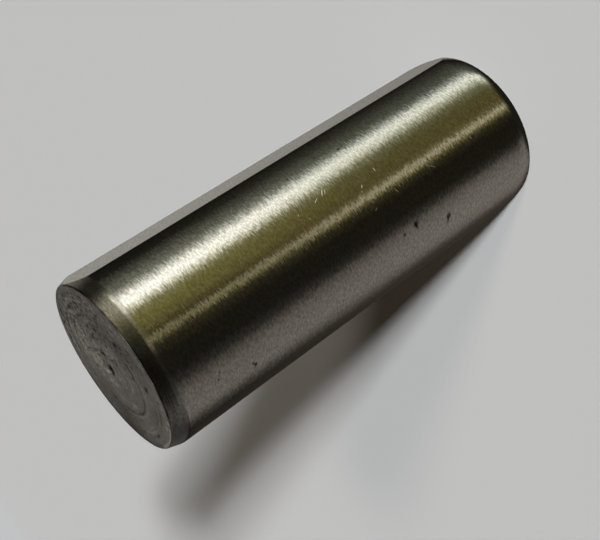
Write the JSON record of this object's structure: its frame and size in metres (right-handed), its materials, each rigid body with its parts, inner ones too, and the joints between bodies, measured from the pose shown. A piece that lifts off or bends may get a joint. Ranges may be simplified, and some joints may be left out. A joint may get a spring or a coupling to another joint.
{
  "type": "dowel pin",
  "caption": "Hardened steel dowel pin with a lead-in chamfer at one end, a crowned edge at the other and a narrow vent flat along its side.",
  "frame": {"origin": "middle of the bottom end face, the crowned end, which the pin stands on", "axes": "+Z along the pin's axis, from the crowned end up to the chamfered end; the vent flat faces halfway between -X and +Y"},
  "size_m": [0.01, 0.01, 0.026],
  "materials": {
    "ground_steel": "hardened bare steel, ground all round on the side, with turned ends"
  },
  "bodies": {
    "root": {"dowel_pin": "ground_steel"}
  },
  "joints": []
}
